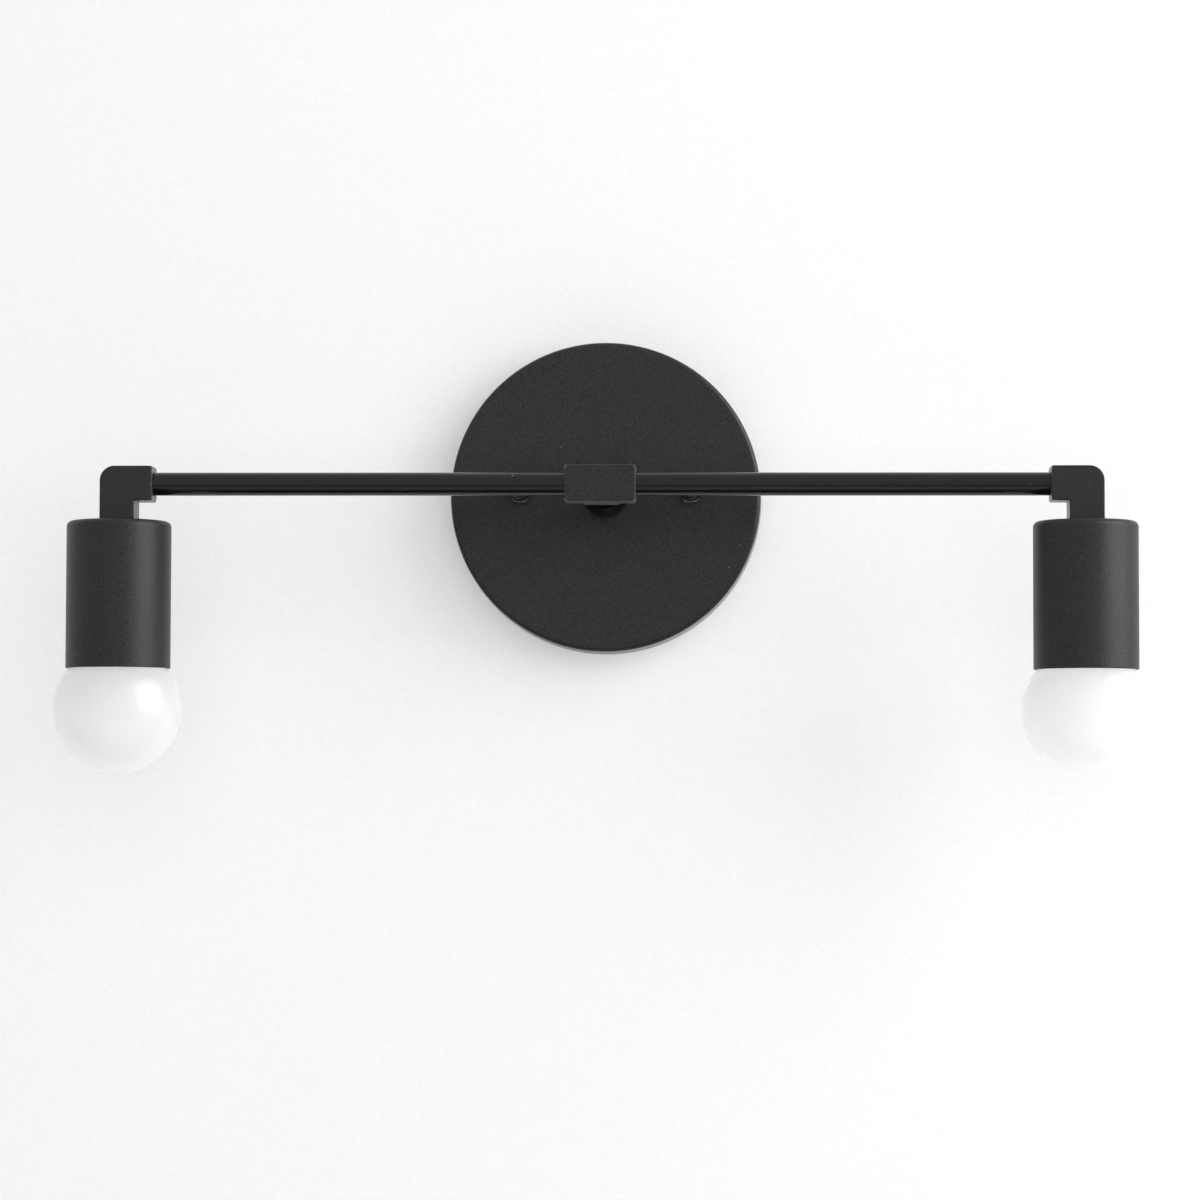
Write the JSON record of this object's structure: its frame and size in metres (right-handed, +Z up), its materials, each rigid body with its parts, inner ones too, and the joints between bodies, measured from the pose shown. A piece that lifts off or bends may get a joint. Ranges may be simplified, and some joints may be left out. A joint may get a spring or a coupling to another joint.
{
  "type": "vanity light",
  "caption": "Black vanity light: round wall canopy, stand-off arm with square fittings, down-facing cups with opal globe bulbs that screw in.",
  "frame": {"origin": "centre of the mounting plate's back face and of the canopy's rim, on the wall plane", "axes": "+X to the right along the arm, +Z up, +Y into the wall; the light stands toward -Y"},
  "size_m": [0.4474, 0.1112, 0.1853],
  "materials": {
    "black_coat": "matte black powder coat with a fine texture",
    "zinc_steel": "zinc plated steel",
    "black_paint": "satin black paint on tubes, collar and cap nuts",
    "green_screw": "green dyed zinc plate",
    "tin_brass": "tinned brass",
    "bare_copper": "bare copper",
    "spring_steel": "zinc plated spring steel",
    "orange_plastic": "orange splice cap",
    "ceramic": "white porcelain glaze",
    "nickel_shell": "rolled nickel plated shell",
    "contact_brass": "bare brass",
    "opal_glass": "glossy opal white glass",
    "insulator_glass": "black base glass",
    "solder": "solder on the tip contact",
    "clear_glass": "clear lead glass",
    "tungsten": "coiled tungsten wire",
    "black_insulation": "black lead insulation",
    "white_insulation": "white lead insulation"
  },
  "bodies": {
    "fixture": {"canopy": "black_coat", "mounting_plate": "zinc_steel", "canopy_studs": "zinc_steel", "stud_nuts": "zinc_steel", "cap_nut_left": "black_paint", "cap_nut_right": "black_paint", "ground_screw": "green_screw", "ground_lug": "tin_brass", "ground_wire": "bare_copper", "stem_tube": "black_paint", "stem_collar": "black_paint", "stem_lock_washer": "spring_steel", "stem_locknut": "zinc_steel", "hub_block": "black_coat", "black_wire_nut": "orange_plastic", "white_wire_nut": "orange_plastic", "arm_tube_left": "black_paint", "elbow_left": "black_coat", "elbow_nipple_left": "zinc_steel", "cup_left": "black_coat", "cup_lock_washer_left": "spring_steel", "cup_locknut_left": "zinc_steel", "holder_bracket_left": "zinc_steel", "bracket_screws_left": "zinc_steel", "lamp_holder_left": "ceramic", "screw_shell_left": "nickel_shell", "center_contact_left": "contact_brass", "holder_rivets_left": "contact_brass", "black_lead_left": "black_insulation", "white_lead_left": "white_insulation", "arm_tube_right": "black_paint", "elbow_right": "black_coat", "elbow_nipple_right": "zinc_steel", "cup_right": "black_coat", "cup_lock_washer_right": "spring_steel", "cup_locknut_right": "zinc_steel", "holder_bracket_right": "zinc_steel", "bracket_screws_right": "zinc_steel", "lamp_holder_right": "ceramic", "screw_shell_right": "nickel_shell", "center_contact_right": "contact_brass", "holder_rivets_right": "contact_brass", "black_lead_right": "black_insulation", "white_lead_right": "white_insulation"},
    "bulb_tip_body_left": {"bulb_tip_left": "solder"},
    "bulb_body_left": {"bulb_globe_left": "opal_glass", "bulb_base_left": "nickel_shell", "bulb_insulator_left": "insulator_glass", "bulb_mount_left": "clear_glass", "bulb_supports_left": "spring_steel", "bulb_filament_left": "tungsten"},
    "bulb_tip_body_right": {"bulb_tip_right": "solder"},
    "bulb_body_right": {"bulb_globe_right": "opal_glass", "bulb_base_right": "nickel_shell", "bulb_insulator_right": "insulator_glass", "bulb_mount_right": "clear_glass", "bulb_supports_right": "spring_steel", "bulb_filament_right": "tungsten"}
  },
  "joints": [
    {"name": "bulb_travel_left", "type": "slide", "parent": "fixture", "child": "bulb_tip_body_left", "axis": [0, 0, -1], "range_m": [0, 0.02]},
    {"name": "bulb_turn_left", "type": "hinge", "parent": "bulb_tip_body_left", "child": "bulb_body_left", "pos_m": [-0.1975, -0.085, -0.0924], "axis": [0, 0, -1], "range_deg": [0, 1980]},
    {"name": "bulb_travel_right", "type": "slide", "parent": "fixture", "child": "bulb_tip_body_right", "axis": [0, 0, -1], "range_m": [0, 0.02]},
    {"name": "bulb_turn_right", "type": "hinge", "parent": "bulb_tip_body_right", "child": "bulb_body_right", "pos_m": [0.1975, -0.085, -0.0924], "axis": [0, 0, -1], "range_deg": [0, 1980]}
  ],
  "couplings": [
    {"joint": "bulb_travel_left", "follows": "bulb_turn_left", "m_per_rad": 0.0005775},
    {"joint": "bulb_travel_right", "follows": "bulb_turn_right", "m_per_rad": 0.0005775}
  ]
}
